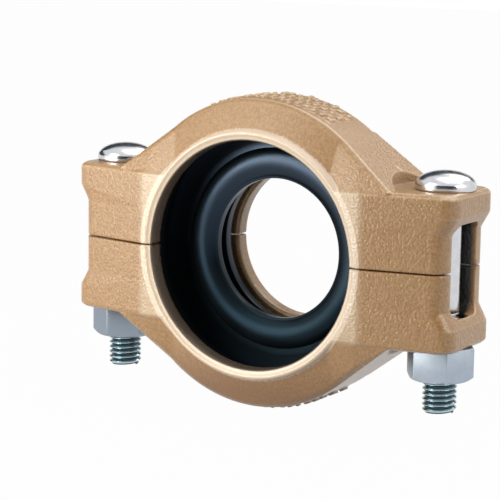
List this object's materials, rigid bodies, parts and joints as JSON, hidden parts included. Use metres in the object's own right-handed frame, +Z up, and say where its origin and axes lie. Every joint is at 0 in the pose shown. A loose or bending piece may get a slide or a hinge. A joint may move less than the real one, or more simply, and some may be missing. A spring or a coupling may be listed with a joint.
{
  "type": "reducing pipe coupling",
  "caption": "Split cast coupling that joins a large grooved pipe end to a smaller one, with a rubber sealing ring inside and a bolted pad at each side.",
  "frame": {"origin": "on the pipe axis, halfway along the coupling, at the split between the two halves", "axes": "+X across the bolt pads, +Y along the pipe axis towards the small end, +Z up through the half that holds the bolt heads"},
  "size_m": [0.164, 0.048, 0.118],
  "materials": {
    "housing_enamel": "satin enamel over a sand-cast skin",
    "gasket_rubber": "smooth black rubber",
    "bolt_zinc": "bright zinc plate",
    "nut_zinc": "satin zinc plate"
  },
  "bodies": {
    "lower_half": {"lower_housing": "housing_enamel", "gasket": "gasket_rubber"},
    "upper_half": {"upper_housing": "housing_enamel", "bolt_left": "bolt_zinc", "bolt_right": "bolt_zinc"},
    "left_nut": {"nut_left": "nut_zinc"},
    "right_nut": {"nut_right": "nut_zinc"}
  },
  "joints": [
    {"name": "upper_half_lift", "type": "slide", "parent": "lower_half", "child": "upper_half", "axis": [0, 0, 1], "range_m": [0, 0.00977]},
    {"name": "left_nut_turn", "type": "hinge", "parent": "lower_half", "child": "left_nut", "pos_m": [-0.0698, -0.0014, 0], "axis": [0, 0, 1], "range_deg": [-1801, 0]},
    {"name": "right_nut_turn", "type": "hinge", "parent": "lower_half", "child": "right_nut", "pos_m": [0.0698, -0.0014, 0], "axis": [0, 0, 1], "range_deg": [-1801, 0]}
  ],
  "couplings": [
    {"joint": "left_nut_turn", "follows": "upper_half_lift", "rad_per_m": -3215.6},
    {"joint": "right_nut_turn", "follows": "upper_half_lift", "rad_per_m": -3215.6}
  ]
}
